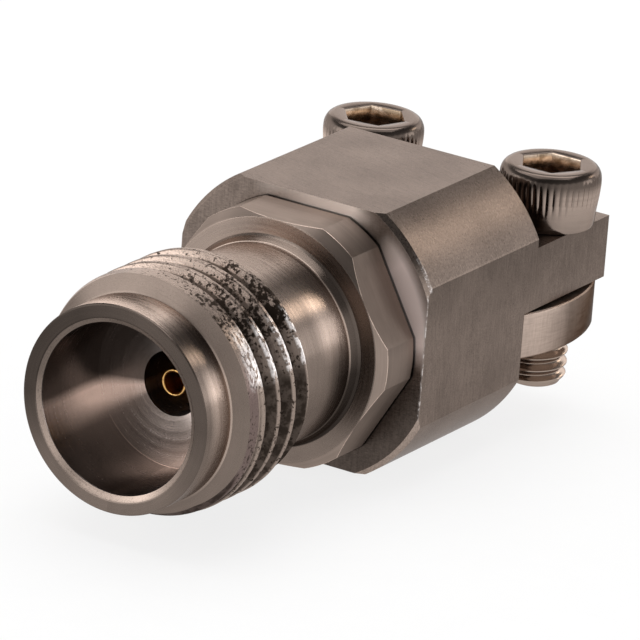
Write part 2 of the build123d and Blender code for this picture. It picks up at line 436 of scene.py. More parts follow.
S_PITCH, S_CREST, S_DEPTH, S_NECK_R = 0.3528, 0.92, 0.185, 0.90
S_TIP, S_NECK, S_HEAD, S_TOP = -3.02, 1.60, 1.78, 3.50
S_CREST_AT = -2.75
S_SIDES = 96
SOCKET_HALF, SOCKET_FLOOR = 1.5875 / 2, 2.55
SOCKET_POINT = 0.12  # depth of the drilled cone below the socket's floor
FLUTES, FLUTE_STEPS, FLUTE_DEPTH = 46, 8, 0.038
FLUTES_EVEN = 2.75  # below this height the flutes run out unevenly

# The thread's pointed end: height and greatest radius
S_POINT = [(S_TIP, 0.60), (-2.97, 0.72), (-2.88, 0.81), (-2.72, 0.90), (-2.6, S_CREST)]

# The head's side: radius, height and share of the flutes' depth
HEAD_SIDE = [
    (S_NECK_R, S_HEAD, 0), (1.27, S_HEAD, 0), (1.315, 1.80, 0), (1.335, 1.84, 0), (1.345, 1.95, 0),
    (1.362, 2.15, 0), (1.378, 2.32, 0.05), (1.392, 2.42, 0.35), (1.408, 2.54, 0.75), (1.424, 2.68, 1.0),
    (1.437, 2.82, 1.0), (1.447, 2.94, 1.0), (1.450, 3.04, 1.0), (1.448, 3.12, 0.9), (1.440, 3.20, 0.5),
    (1.420, 3.285, 0.15), (1.385, 3.36, 0), (1.335, 3.425, 0), (1.27, 3.472, 0), (1.20, 3.495, 0),
    (1.14, S_TOP, 0),
]

# The socket's side: how much wider it is than across its flats, and the height
SOCKET_SIDE = ((0.055, S_TOP), (0.02, S_TOP - 0.015), (0.0, S_TOP - 0.055), (0.0, 3.0), (0.0, SOCKET_FLOOR))


def screw_radius(z, t):
    x = ((z - S_CREST_AT - S_PITCH * t / TURN) / S_PITCH) % 1.0
    wave = 0.5 - 0.5 * math.cos(TURN * x)
    r = S_CREST - S_DEPTH * wave ** 0.8
    return min(r, along(S_POINT, z))


def flute_cut(t, z, depth, seed):
    """How far the knurl goes in, uneven from flute to flute and ending low down at uneven heights."""
    ridge = abs(math.sin(FLUTES * t / 2 + 0.3)) ** 0.7
    around = (math.cos(t), math.sin(t))
    uneven = 0.5 + 0.9 * noise.noise(Vector((3.1 * around[0], 3.1 * around[1], 2.5 * z + seed)))
    low_end = 1.0
    if z < FLUTES_EVEN:
        ragged = 1.0 + 0.8 * noise.noise(Vector((9 * around[0], 9 * around[1], seed)))
        low_end = min(max(ragged, 0.0), 1.0)
    return depth * (FLUTE_DEPTH * low_end * (1 - ridge) + 0.006 * uneven)


def screw_shank(bm, place):
    """The thread, its flat tip and the plain neck under the head."""
    helix(bm, screw_radius, S_PITCH, [k / 12 for k in range(12)], S_TIP, S_NECK, S_SIDES, place)
    turn = turns(S_SIDES)
    bm.faces.new([bm.verts.new(place(screw_radius(S_TIP, t), S_TIP, t)) for t in turn])
    neck = [bm.verts.new(place(screw_radius(S_NECK, t), S_NECK, t)) for t in turn]
    bridge(bm, neck, add_ring(bm, S_NECK_R, S_HEAD, S_SIDES, place))


def socket_radius(wider, t, phase):
    """Distance from the screw's axis to the hexagon socket's wall."""
    a = (t - phase) % (TURN / 6) - TURN / 12
    return (SOCKET_HALF + wider) / math.cos(a)


def screw_head(bm, place, phase, seed):
    """The knurled head and the socket in it."""
    m = FLUTES * FLUTE_STEPS
    angles = turns(m)
    rings = []
    for r, z, depth in HEAD_SIDE:
        rings.append([bm.verts.new(place(r - flute_cut(t, z, depth, seed), z, t)) for t in angles])

    # the socket's rings have a point at each of its six corners
    for k in range(6):
        corner = (phase + TURN * k / 6) % TURN
        angles[round(corner * m / TURN) % m] = corner
    for wider, z in SOCKET_SIDE:
        rings.append([bm.verts.new(place(socket_radius(wider, t, phase), z, t)) for t in angles])
    for a, b in zip(rings, rings[1:]):
        bridge(bm, a, b)
    centre = bm.verts.new(place(0, SOCKET_FLOOR - SOCKET_POINT, 0))
    for k in range(m):
        bm.faces.new((rings[-1][k], rings[-1][(k + 1) % m], centre))


def make_screw(name, cx, phase, seed):
    def place(r, z, t):
        return (cx + r * math.cos(t), SCREW_Y + r * math.sin(t), z)

    bm = bmesh.new()
    screw_shank(bm, place)
    screw_head(bm, place, phase, seed)
    return to_object(name, bm, 34.0)


# Centre contact: a gold socket with a thin round lip, cut by two fine slots

CONTACT_R, CONTACT_REAR = 0.402, 12.35
BEAD_NECK_R = 0.30  # the contact's neck inside the bead
PIN_HOLE_R, PIN_HOLE_FRONT = 0.09, 11.15
LIP_R, LIP_FRONT = 0.350, 2.935  # middle of the rounded lip
LIP_HALF, LIP_ROUND = 0.052, 0.055  # half its thickness, and how far it stands out
SLOT_HALF, SLOT_FRONT, SLOT_REAR = 0.008, 2.5, 4.48
CONTACT_HOLE = [(NEAR_AXIS, 4.30), (0.15, 4.20), (0.24, 3.80), (0.25, 3.12), (0.275, 3.00)]
CONTACT_OUTSIDE = [
    (CONTACT_R, BEAD_FRONT), (BEAD_NECK_R, BEAD_FRONT), (BEAD_NECK_R, BEAD_REAR), (CONTACT_R, BEAD_REAR),
    (CONTACT_R, CONTACT_REAR), (PIN_HOLE_R, CONTACT_REAR), (PIN_HOLE_R, PIN_HOLE_FRONT),
    (NEAR_AXIS, PIN_HOLE_FRONT),
]


def make_contact():
    half_turn = turns(48)[:25]
    lip = [(LIP_R - LIP_HALF * math.cos(a), LIP_FRONT - LIP_ROUND * math.sin(a)) for a in half_turn]
    solid = cut(
        lathe(CONTACT_HOLE + lip + CONTACT_OUTSIDE, 96),
        ("DIFFERENCE", block(-1, 1, SLOT_FRONT, SLOT_REAR, -SLOT_HALF, SLOT_HALF)),
        ("DIFFERENCE", block(-SLOT_HALF, SLOT_HALF, SLOT_FRONT, SLOT_REAR, -1, 1)),
    )
    return to_object("gold_contact", solid, 30.0)


shell = make_shell()
body = make_body()
clamp = make_clamp()
screw_left = make_screw("screw_left_knurled", -SCREW_X, math.radians(8), 3.7)
screw_right = make_screw("screw_right_knurled", SCREW_X, 0.0, 11.2)
contact = make_contact()


# Nodes: a graph holds the nodes of a material or the world, with short names for the steps they share

def grey(level):
    return (level, level, level)


def shade(colour, share):
    return tuple(share * c for c in colour)


class Graph:
    def __init__(self, owner, shader):
        owner.use_nodes = True
        self.tree = owner.node_tree
        self.shader = self.tree.nodes[shader]
        self.coord = self.add("TexCoord")

    def add(self, kind, **settings):
        node = self.tree.nodes.new("ShaderNode" + kind)
        for key, value in settings.items():
            setattr(node, key, value)
        return node

    def put(self, value, socket):
        """Links a socket to another one, or sets it to a constant."""
        if isinstance(value, bpy.types.NodeSocket):
            self.tree.links.new(value, socket)
        elif isinstance(value, tuple) and len(value) < len(socket.default_value):
            socket.default_value = (*value, 1.0)
        else:
            socket.default_value = value

    def set(self, name, value):
        self.put(value, self.shader.inputs[name])

    def math(self, how, a, b=0.0, clamp=False):
        node = self.add("Math", operation=how, use_clamp=clamp)
        self.put(a, node.inputs[0])
        self.put(b, node.inputs[1])
        return node.outputs[0]

    def above(self, value, level):
        return self.math("GREATER_THAN", value, level)

    def below(self, value, level):
        return self.math("LESS_THAN", value, level)

    def within(self, value, low, high):
        return self.math("MULTIPLY", self.above(value, low), self.below(value, high))

    def outside(self, mask):
        return self.math("SUBTRACT", 1.0, mask)

    def times(self, a, *others):
        for b in others:
            a = self.math("MULTIPLY", a, b)
        return a

    def blend(self, a, b, share):
        """A share of a with the rest of b."""
        return self.math("ADD", self.math("MULTIPLY", a, share), self.math("MULTIPLY", b, 1 - share))

    def vector(self, how, a, b=(0.0, 0.0, 0.0), out="Vector"):
        node = self.add("VectorMath", operation=how)
        self.put(a, node.inputs[0])
        self.put(b, node.inputs[1])
        return node.outputs[out]

    def scaled(self, vector, by):
        return self.vector("MULTIPLY", vector, by)

    def split(self, vector):
        node = self.add("SeparateXYZ")
        self.put(vector, node.inputs[0])
        return node.outputs

    def facing(self):
        """Where the surface faces, as x, y and z."""
        return self.split(self.coord.outputs["Normal"])

    def noise(self, vector, scale=1.0, detail=3.0, rough=0.55):
        node = self.add("TexNoise")
        self.put(vector, node.inputs["Vector"])
        node.inputs["Scale"].default_value = scale
        node.inputs["Detail"].default_value = detail
        node.inputs["Roughness"].default_value = rough
        return node.outputs["Fac"]

    def ramp(self, value, *stops):
        """A curve through (place, level or colour) stops."""
        node = self.add("ValToRGB")
        elements = node.color_ramp.elements
        while len(elements) < len(stops):
            elements.new(0.5)
        for element, (place, level) in zip(elements, stops):
            element.position = place
            element.color = (*level, 1.0) if isinstance(level, tuple) else (*grey(level), 1.0)
        self.put(value, node.inputs[0])
        return node.outputs[0]

    def graded(self, length, full, *stops):
        """A curve over a length in millimetres, its stops placed by their share of the full length."""
        return self.ramp(self.math("DIVIDE", length, full), *stops)

    def mix(self, share, a, b):
        node = self.add("Mix", data_type="RGBA")
        self.put(share, node.inputs[0])
        self.put(a, node.inputs[6])
        self.put(b, node.inputs[7])
        return node.outputs[2]

    def dim(self, colour, factor):
        node = self.add("VectorMath", operation="SCALE")
        self.put(colour, node.inputs[0])
        self.put(factor, node.inputs["Scale"])
        return node.outputs[0]

    def toned(self, colour, mask, tone):
        """Multiplies a colour by a tone where the mask is 1."""
        change = self.math("MULTIPLY", mask, self.math("SUBTRACT", tone, 1.0))
        return self.dim(colour, self.math("ADD", 1.0, change))

    def bump(self, height, strength, depth_mm, after=None):
        node = self.add("Bump")
        node.inputs["Strength"].default_value = strength
        node.inputs["Distance"].default_value = depth_mm * MM
        self.put(height, node.inputs["Height"])
        if after is not None:
            self.put(after, node.inputs["Normal"])
        return node.outputs[0]


def material_graph(name):
    """A new material's graph, with the place in millimetres as mm."""
    material = bpy.data.materials.new(name)
    g = Graph(material, "Principled BSDF")
    g.material = material
    g.mm = g.scaled(g.coord.outputs["Object"], grey(1 / MM))
    return g


# Metals off the lathe

WARM = (1.0, 0.785, 0.665)  # the warm tone of the photograph's steel
MOUTH_TONE = (1.0, 0.84, 0.76)
# dark of painted shade in the thread's roots, and of specks of soot
SHADE_AND_SOOT = (0.02, 0.014, 0.01)
# bright of chips and nicks, part wear and part painted highlight
WORN_AND_HIGHLIGHT = (0.9, 0.84, 0.82)
EDGE_TINT = (0.66, 0.62, 0.6)


def turning_marks(g, axis, centre):
    """Radius, length and a texture place that changes quickly only across the marks of a lathe."""
    spread = {"y": (1.0, 0.0, 1.0), "z": (1.0, 1.0, 0.0)}[axis]
    from_axis = g.scaled(g.vector("SUBTRACT", g.mm, centre), spread)
    radius = g.vector("LENGTH", from_axis, out="Value")
    length = g.split(g.mm)["XYZ".index(axis.upper())]
    across = g.add("CombineXYZ")
    g.put(radius, across.inputs[0])
    g.put(length, across.inputs[1])
    around = g.scaled(g.vector("NORMALIZE", from_axis), grey(0.1))
    return radius, length, g.vector("ADD", across.outputs[0], around)


def turn_share(g):
    """Place round the axis: 0.5 on top, 0.75 on the +X side, 0.25 on the -X side."""
    x, y, z = g.split(g.mm)
    return g.math("ADD", g.math("DIVIDE", g.math("ARCTAN2", x, z), TURN), 0.5)


def turned_metal(name, axis, centre, tones, rough, lines=9.0, relief=0.12, stretch=0.75, wear=None):
    """Metal off the lathe: fine rings, a slowly wandering tone and highlights drawn out across the rings."""
    g = material_graph(name)
    radius, length, across = turning_marks(g, axis, centre)
    fine = g.noise(across, lines, 4.0, 0.65)
    wide = g.noise(across, lines / 6, 2.0, 0.5)
    patch = g.noise(g.mm, 0.9, 3.0, 0.5)
    speck = g.noise(g.mm, 14.0, 3.0, 0.6)
    lined = g.blend(fine, wide, 0.6)
    colour = g.ramp(g.blend(lined, patch, 0.62), (0.34, tones[0]), (0.66, tones[1]))
    roughness = g.ramp(g.blend(fine, speck, 0.7), (0.35, rough[0]), (0.65, rough[1]))
    normal = g.bump(lined, relief, 0.03)
    # the wear step paints shade, highlights and reflections into the colour, and on the thread some wear and
    # soot too
    if wear:
        colour, roughness, normal = wear(g, radius, length, colour, roughness, normal)
    g.set("Base Color", colour)
    g.set("Roughness", roughness)
    g.set("Normal", normal)
    g.set("Metallic", 1.0)
    g.set("Specular Tint", EDGE_TINT)
    g.set("Anisotropic", stretch)
    g.set("Anisotropic Rotation", 0.25)
    g.set("Tangent", g.add("Tangent", direction_type="RADIAL", axis=axis.upper()).outputs[0])
    return g.material


# Zones of the shell: front and rear ends, and the radii that part them
RIM_FLAT, RIM_REAR = 0.03, 0.07
LEAD = (0.012, 0.12)
NOSE = (RIM_REAR, 1.17)
SHOULDER_LINE = (1.18, 1.218)
BARREL = (BARREL_FRONT - 0.05, FLARE_START)
FLARE_LINE = (FLARE_START, FLARE_START + 0.035)
FILLET = (FLARE_START + 0.035, HEX_FRONT)
HEX_RING = (HEX_FRONT - 0.03, HEX_FRONT + 0.02)
HEXAGON = (HEX_FRONT + 0.02, HEX_REAR)
WALL_R, WEDGE_R, FILLET_R = 2.75, 3.06, 3.04

# Painted highlights, reflections and shade round the axis, as the light leaves them in the photograph:
# (turn_share, tone)
RIM_TONES = ((0.0, 1.0), (0.14, 0.75), (0.24, 0.3), (0.42, 0.3), (0.56, 0.5), (0.74, 0.5), (0.9, 0.9))
LEAD_TONES = (
    (0.0, 2.6), (0.12, 2.4), (0.21, 1.7), (0.28, 0.75), (0.5, 0.8), (0.6, 1.4), (0.76, 1.4), (1.0, 2.6),
)
NOSE_TONES = (
    (0.3, 1.5), (0.42, 3.6), (0.52, 3.4), (0.555, 2.7), (0.595, 0.65), (0.62, 0.65), (0.66, 2.1),
    (0.69, 3.2), (0.8, 1.4), (0.92, 0.9),
)
NOSE_FRONT_TONES = ((0.62, 1.0), (0.67, 0.36), (0.75, 0.4), (0.82, 0.9))
SHOULDER_TONES = ((0.3, 1.0), (0.46, 1.2), (0.61, 0.8), (0.68, 2.6), (0.8, 2.0), (0.92, 1.0))
BARREL_TONES = (
    (0.4, 1.7), (0.545, 1.75), (0.585, 0.9), (0.605, 1.5), (0.64, 1.6), (0.66, 1.2), (0.74, 1.1), (0.8, 0.9),
)
PINK_REFLECTION_TONES = ((0.61, 1.0), (0.65, 2.1), (0.69, 2.2), (0.735, 1.0))
WEDGE_TONES = ((0.5, 1.1), (0.6, 0.8), (0.66, 1.0), (0.71, 0.9), (0.76, 0.3), (0.9, 0.35))
FLARE_TONES = ((0.5, 1.7), (0.62, 1.5), (0.67, 2.6), (0.74, 2.4), (0.78, 1.0))
FILLET_TONES = ((0.5, 1.2), (0.6, 0.75), (0.75, 0.65))
HEX_RING_TONES = ((0.4, 1.9), (0.54, 1.8), (0.59, 0.9), (0.7, 0.85), (0.78, 0.8), (0.86, 1.2))
CHAMFER_TONES = ((0.5, 1.5), (0.54, 1.4), (0.565, 0.7), (0.64, 0.7), (0.68, 1.6))
EDGE_HIGHLIGHT_TONE = 4.4
SIDE_TONES = ((0.54, 1.4), (0.555, 1.1), (0.6, 1.0), (0.62, 0.85), (0.72, 0.85), (0.74, 1.1))


def tone_zones(g, turn, colour, zones):
    """Gives each masked zone its tones round the axis."""
    for mask, tones in zones:
        colour = g.toned(colour, mask, g.ramp(turn, *tones))
    return colour


def edge_nicks(g):
    return g.ramp(g.noise(g.mm, 24.0, 3.0, 0.6), (0.36, 0.65), (0.44, 1.0))


def nose_zones(g, radius, length, turn, colour):
    """Painted shade and highlights on the rim, on the lead into the mouth, broken by nicks, and on the nose,
    and a painted bright line at the thread's shoulder.
    """
    outer = g.above(radius, WALL_R)
    rim = g.math("MAXIMUM", g.below(length, RIM_FLAT), g.times(g.below(length, RIM_REAR), outer))
    colour = g.toned(colour, rim, g.ramp(turn, *RIM_TONES))
    lead = g.times(g.within(length, *LEAD), g.outside(outer))
    colour = g.toned(colour, lead, g.times(edge_nicks(g), g.ramp(turn, *LEAD_TONES)))
    nose = g.times(g.within(length, *NOSE), outer)
    front = g.times(nose, g.graded(length, 1.2, (0.2, 1.0), (0.5, 0.0)))
    line = g.times(g.within(length, *SHOULDER_LINE), outer)
    zones = ((nose, NOSE_TONES), (front, NOSE_FRONT_TONES), (line, SHOULDER_TONES))
    return tone_zones(g, turn, colour, zones)


def barrel_zones(g, radius, length, turn, colour):
    """The barrel with painted reflections, a pink band and a dark wedge of painted shade towards the rear,
    and a painted bright line where it widens.
    """
    barrel = g.within(length, *BARREL)
    pink_reflection = g.times(g.graded(length, 10.0, (0.58, 0.0), (0.63, 1.0)), barrel)
    wedge = g.times(g.graded(length, 10.0, (0.62, 0.0), (0.68, 1.0)), g.below(radius, WEDGE_R))
    line = g.within(length, *FLARE_LINE)
    zones = ((barrel, BARREL_TONES), (pink_reflection, PINK_REFLECTION_TONES), (wedge, WEDGE_TONES), (line, FLARE_TONES))
    return tone_zones(g, turn, colour, zones)


def hexagon_zones(g, radius, length, turn, colour):
    """Painted shade and reflections on the fillet, the ring in front of the hexagon, its chamfer and its
    sides, and painted highlights along its edges, broken by nicks.
    """
    slope = g.math("ABSOLUTE", g.facing()[1])
    fillet = g.times(g.within(length, *FILLET), g.below(radius, FILLET_R))
    ring = g.times(g.within(length, *HEX_RING), g.above(radius, FILLET_R))
    hexagon = g.within(length, *HEXAGON)
    chamfer = g.times(hexagon, g.within(slope, 0.6, 0.8))
    zones = ((fillet, FILLET_TONES), (ring, HEX_RING_TONES), (chamfer, CHAMFER_TONES))
    colour = tone_zones(g, turn, colour, zones)
    steep = g.math("ADD", g.within(slope, 0.4, 0.6), g.within(slope, 0.8, 0.92))
    edges = g.math("ADD", g.within(slope, 0.22, 0.35), steep)
    colour = g.toned(colour, g.times(edges, hexagon, edge_nicks(g)), EDGE_HIGHLIGHT_TONE)
    return g.toned(colour, g.times(hexagon, g.below(slope, 0.2)), g.ramp(turn, *SIDE_TONES))


# Where specks of soot lie on the thread, round the axis
SPECK_ZONE = (
    (0.3, 0.25), (0.48, 0.28), (0.53, 0.62), (0.59, 1.0), (0.635, 1.0), (0.655, 0.5), (0.71, 0.3),
    (0.8, 0.55),
)


def chip_pattern(g, length, turn):
    """Noise in pieces that are long round the axis."""
    streak = g.add("CombineXYZ")
    g.put(g.times(length, 10.0), streak.inputs[0])
    g.put(g.times(turn, 90.0), streak.inputs[1])
    return g.noise(streak.outputs[0], 1.0, 5.0, 0.62)


def chip_and_highlight_mask(g, broken, length, turn, deep, fine, inside):
    """Bright chips, part wear and part painted highlight, on the right of the land, crests and upper flanks,
    fewer at the very front.
    """
    chipped = g.ramp(broken, (0.45, 0.0), (0.5, 1.0))
    ragged = g.math("ADD", turn, g.times(fine, 0.03))
    side = g.ramp(ragged, (0.635, 0.0), (0.655, 1.0), (0.712, 1.0), (0.722, 0.0))
    spared = g.graded(length, 2.0, (0.74, 0.0), (0.82, 0.55), (0.95, 0.85), (1.0, 1.0))
    return g.times(chipped, side, inside, spared, g.ramp(deep, (0.12, 1.0), (0.28, 0.0)))


def shade_and_soot_mask(g, turn, deep, fine, flanks, top, low_right):
    """Painted shade in the roots, behind the crests on top and on the flanks low on the right, and specks of
    soot.
    """
    root = g.ramp(deep, (0.8, 0.0), (0.95, 0.9))
    behind_crest = g.times(g.ramp(deep, (0.52, 0.0), (0.62, 0.85)), top)
    blotch = g.ramp(g.noise(g.mm, 3.4, 4.0, 0.6), (0.44, 0.76), (0.58, 0.97))
    flank = g.times(flanks, g.ramp(turn, (0.69, 0.1), (0.715, 1.0)), low_right, blotch)
    zone = g.ramp(turn, *SPECK_ZONE)
    patches = g.times(g.math("SUBTRACT", g.noise(g.mm, 1.6, 2.0, 0.5), 0.5), 0.45)
    likely = g.math("ADD", g.times(zone, 0.17), g.times(deep, 0.05))
    spotted = g.math("ADD", g.math("ADD", fine, likely), g.times(patches, zone))
    specks = g.ramp(spotted, (0.63, 0.0), (0.71, 1.0))
    low, high = g.math("MAXIMUM", root, flank), g.math("MAXIMUM", specks, behind_crest)
    return g.math("MAXIMUM", low, high)


def thread_light_and_wear(g, radius, length, colour, roughness, normal):
    """The shell's painted zones and its thread: painted shade in the roots, behind the crests and on the
    flanks low on the right, specks of soot, and bright chips on the right, part wear and part painted
    highlight.
    """
    turn = turn_share(g)
    colour = nose_zones(g, radius, length, turn, colour)
    colour = barrel_zones(g, radius, length, turn, colour)
    colour = hexagon_zones(g, radius, length, turn, colour)
    roughness = g.mix(g.within(length, *HEXAGON), roughness, grey(0.42))
    inside = g.within(length, THREAD_FRONT + 0.01, THREAD_REAR + 0.12)
    deep = g.math("DIVIDE", g.math("SUBTRACT", CREST, radius), CREST - ROOT, clamp=True)
    crest = g.ramp(deep, (0.02, 1.0), (0.07, 0.0))
    flanks = g.ramp(deep, (0.06, 0.0), (0.14, 1.0))
    behind_land = g.above(length, FADE_FRONT)
    fine = g.noise(g.mm, 9.0, 5.0, 0.66)

    # the top: flanks painted pale and crests duller as painted reflection, and a painted shadow line behind
    # each crest
    top = g.ramp(turn, (0.3, 0.0), (0.4, 1.0), (0.58, 1.0), (0.63, 0.2))
    pale = g.ramp(g.blend(flanks, fine, 0.5), (0.2, 1.5), (0.75, 3.6))
    colour = g.toned(colour, g.times(top, inside), pale)

    # the lower right: painted highlights on thin crests, flanks in painted shade, and a land darkened as
    # painted shade
    low_right = g.ramp(turn, (0.655, 0.0), (0.705, 1.0))
    crest_highlight = g.times(crest, behind_land, inside, low_right)
    colour = g.mix(crest_highlight, colour, shade(WARM, 0.32))
    right = g.ramp(turn, (0.6, 0.0), (0.64, 1.0), (0.7, 1.0), (0.72, 0.0))
    colour = g.toned(colour, g.times(flanks, inside, right), 0.62)
    land = g.times(inside, g.outside(behind_land), low_right)
    colour = g.mix(land, colour, g.scaled(colour, (0.8, 0.74, 0.8)))

    broken = chip_pattern(g, length, turn)
    chips_and_highlights = chip_and_highlight_mask(g, broken, length, turn, deep, fine, inside)
    shade_and_soot = g.times(shade_and_soot_mask(g, turn, deep, fine, flanks, top, low_right), inside, 0.95)
    chip_and_highlight_colour = g.dim(g.ramp(fine, (0.3, WORN_AND_HIGHLIGHT), (0.7, WORN_AND_HIGHLIGHT)), g.ramp(fine, (0.38, 0.55), (0.56, 1.0)))
    colour = g.mix(chips_and_highlights, g.mix(shade_and_soot, colour, SHADE_AND_SOOT), chip_and_highlight_colour)
    roughness = g.mix(chips_and_highlights, g.mix(shade_and_soot, roughness, grey(0.55)), grey(0.3))
    rough_skin = g.times(g.blend(fine, broken, 0.5), inside)
    return colour, roughness, g.bump(rough_skin, 0.5, 0.03, normal)


# The mouth's wall and floor round the axis: painted shade on the upper left and on the lower wall, and
# painted bright reflection bands
WALL_TONES = (
    (0.0, 0.32), (0.145, 0.34), (0.17, 0.95), (0.187, 1.3), (0.207, 1.3), (0.225, 0.22), (0.46, 0.12),
    (0.62, 0.45),
)
FLOOR_TONES = (
    (0.0, 1.55), (0.12, 0.9), (0.155, 0.65), (0.178, 1.3), (0.205, 1.3), (0.23, 0.22), (0.46, 0.17),
    (0.56, 1.5), (0.62, 1.2), (0.85, 1.5),
)


def mouth_painted_light(g, radius, length, colour, roughness, normal):
    turn = turn_share(g)
    on_floor = g.above(length, MOUTH_FLOOR - 0.01)
    floor = g.times(g.ramp(turn, *FLOOR_TONES), on_floor)
    wall = g.times(g.ramp(turn, *WALL_TONES), g.outside(on_floor))
    return g.dim(colour, g.math("ADD", floor, wall)), roughness, normal


# Painted shade and highlights on a screw, up its height and round its head from the left to the right
SCREW_REACH = 10.0
HEIGHT_TONES = ((0.0, 1.4), (0.17, 0.9), (0.26, 1.35), (0.29, 1.2), (0.318, 0.42), (0.349, 0.36))
HEAD_TONES = ((0.07, 1.6), (0.3, 1.35), (0.45, 0.75), (0.65, 0.3), (0.88, 0.75))
SOCKET_DARK, SOCKET_GOLD = (0.3, 0.22, 0.15), (0.62, 0.5, 0.4)
SHANK_TONE = (0.7, 0.71, 0.7)


def screw_tones(g, radius, height, colour, roughness, normal):
    """A head painted with shade and highlights, a darker top, lighter on the left and darker on the right,
    painted golden reflections on the socket's walls, and a darker thread.
    """
    colour = g.dim(colour, g.graded(height, SCREW_REACH, *HEIGHT_TONES))
    right = g.math("ADD", g.times(g.facing()[0], 0.5), 0.5)
    head = g.within(height, S_HEAD - 0.05, S_TOP - 0.03)
    colour = g.toned(colour, head, g.ramp(right, *HEAD_TONES))
    in_socket = g.below(radius, SOCKET_HALF * 1.16 + 0.01)
    socket = g.times(in_socket, g.within(height, SOCKET_FLOOR - 0.2, S_TOP - 0.03))
    walls = g.times(socket, g.above(height, SOCKET_FLOOR + 0.1))
    golden = g.ramp(g.noise(g.mm, 3.0, 3.0, 0.6), (0.42, SOCKET_DARK), (0.56, SOCKET_GOLD))
    colour = g.mix(walls, colour, golden)
    shank = g.below(height, S_NECK)
    return g.mix(shank, colour, g.scaled(colour, SHANK_TONE)), roughness, normal


# Milled metal

GRAIN_ANGLE = 0.3  # radians


def milled_steel(name, tones, rough, grain=(1.6, 26.0, 26.0), relief=0.14, side_tone=1.0, zones=None,
                 edge_tint=EDGE_TINT):
    """Steel milled flat: fine straight grain, soft patches of tone, small scratches, and sides darkened by
    side_tone as painted shade.
    """
    g = material_graph(name)
    rotate = g.add("VectorRotate", rotation_type="Z_AXIS")
    g.put(g.mm, rotate.inputs["Vector"])
    rotate.inputs["Angle"].default_value = GRAIN_ANGLE
    line = g.noise(g.scaled(rotate.outputs[0], grain), 1.0, 4.0, 0.62)
    cross = g.noise(g.scaled(g.mm, (18.0, 18.0, 2.2)), 1.0, 3.0, 0.6)
    patch = g.noise(g.mm, 0.55, 3.0, 0.5)
    speck = g.noise(g.mm, 22.0, 2.0, 0.5)
    lined = g.blend(line, cross, 0.6)
    colour = g.ramp(g.blend(lined, patch, 0.74), (0.4, tones[0]), (0.6, tones[1]))
    # painted shade: faces turned to the sides take side_tone
    sideways = g.math("ABSOLUTE", g.facing()[0])
    colour = g.mix(g.ramp(sideways, (0.9, 0.0), (0.99, 1.0)), colour, g.scaled(colour, grey(side_tone)))
    roughness = g.ramp(g.blend(line, speck, 0.5), (0.35, rough[0]), (0.65, rough[1]))
    if zones:
        colour, roughness = zones(g, colour, roughness)
    g.set("Base Color", colour)
    g.set("Roughness", roughness)
    g.set("Normal", g.bump(lined, relief, 0.03))
    g.set("Metallic", 1.0)
    g.set("Specular Tint", edge_tint)
    return g.material


# The body's front face round the axis: share of a painted bright reflection, and that reflection's colour on
# the left and on the right
FACE_BRIGHT = (
    (0.425, 0.0), (0.46, 0.35), (0.5, 0.75), (0.56, 0.95), (0.585, 0.25), (0.6, 0.1), (0.62, 0.7),
    (0.64, 1.0), (0.735, 1.0), (0.765, 0.0),
)
FACE_LEFT, FACE_RIGHT = (0.97, 0.84, 0.76), (1.0, 0.86, 0.81)
# Below: painted shade low on the right of the front face, painted shade and highlights on the chamfer, and
# painted shade on the top and in the gap behind the hexagon
FACE_TONES = ((0.755, 1.0), (0.79, 0.45), (0.92, 0.45))
FACE_REACH = 5.0
BODY_CHAMFER_TONES = ((0.53, 1.2), (0.56, 0.5), (0.645, 0.45), (0.67, 1.6))
TOP_SHADE, GAP_SHADE = 0.78, 0.4


def from_hexagon_axis(g, x, z):
    """Distance from the axis, measured square to the nearest side of the hexagon."""
    wide = g.math("ABSOLUTE", x)
    tall = g.math("ABSOLUTE", z)
    slanting = g.math("ADD", g.times(wide, 0.866), g.times(tall, 0.5))
    return g.math("MAXIMUM", slanting, tall)


def front_face(g, turn, around, colour, roughness):
    """The body's front face: a painted bright reflection beside the hexagon, and painted shade in the narrow
    gap behind it.
    """
    x, y, z = g.split(g.mm)
    face = g.times(g.below(g.facing()[1], -0.95), g.below(y, BODY_FRONT + 0.05))
    bright = g.times(g.ramp(turn, *FACE_BRIGHT), g.graded(around, FACE_REACH, (0.81, 1.0), (0.875, 0.22)))
    colour = g.mix(g.times(face, bright), colour, g.ramp(turn, (0.6, FACE_LEFT), (0.64, FACE_RIGHT)))
    colour = g.toned(colour, face, g.ramp(turn, *FACE_TONES))
    behind_sides = g.below(from_hexagon_axis(g, x, z), HEX_FLATS / 2 + 0.02)
    gap = g.times(face, behind_sides, g.below(around, HEX_ROUND_R + 0.02))
    colour = g.toned(colour, gap, GAP_SHADE)
    return colour, g.mix(g.times(face, bright), roughness, grey(0.55))


def front_edges(g, turn, around, colour):
    """Painted shade and highlights on the chamfer, and bright nicks, part wear and part painted highlight,
    along the upright and the round edge on the right.
    """
    x, y, z = g.split(g.mm)
    chamfer = g.times(g.within(g.facing()[1], -0.9, -0.4), g.below(y, BODY_FRONT + 0.3))
    colour = g.toned(colour, chamfer, g.ramp(turn, *BODY_CHAMFER_TONES))
    nicked = g.ramp(g.noise(g.mm, 7.0, 4.0, 0.7), (0.49, 0.12), (0.59, 1.0))
    upright = g.times(g.above(x, BODY_HALF_WIDTH - 0.04), g.below(y, BODY_FRONT + 0.04))
    colour = g.mix(g.times(upright, nicked, 0.55), colour, WORN_AND_HIGHLIGHT)
    round_edge = g.times(g.above(around, BAR_R - 0.05), g.below(y, BODY_FRONT + 0.19))
    right = g.ramp(turn, (0.635, 0.0), (0.655, 0.5), (0.69, 1.0), (0.71, 1.0), (0.72, 0.0))
    return g.mix(g.times(round_edge, right, nicked), colour, WORN_AND_HIGHLIGHT)


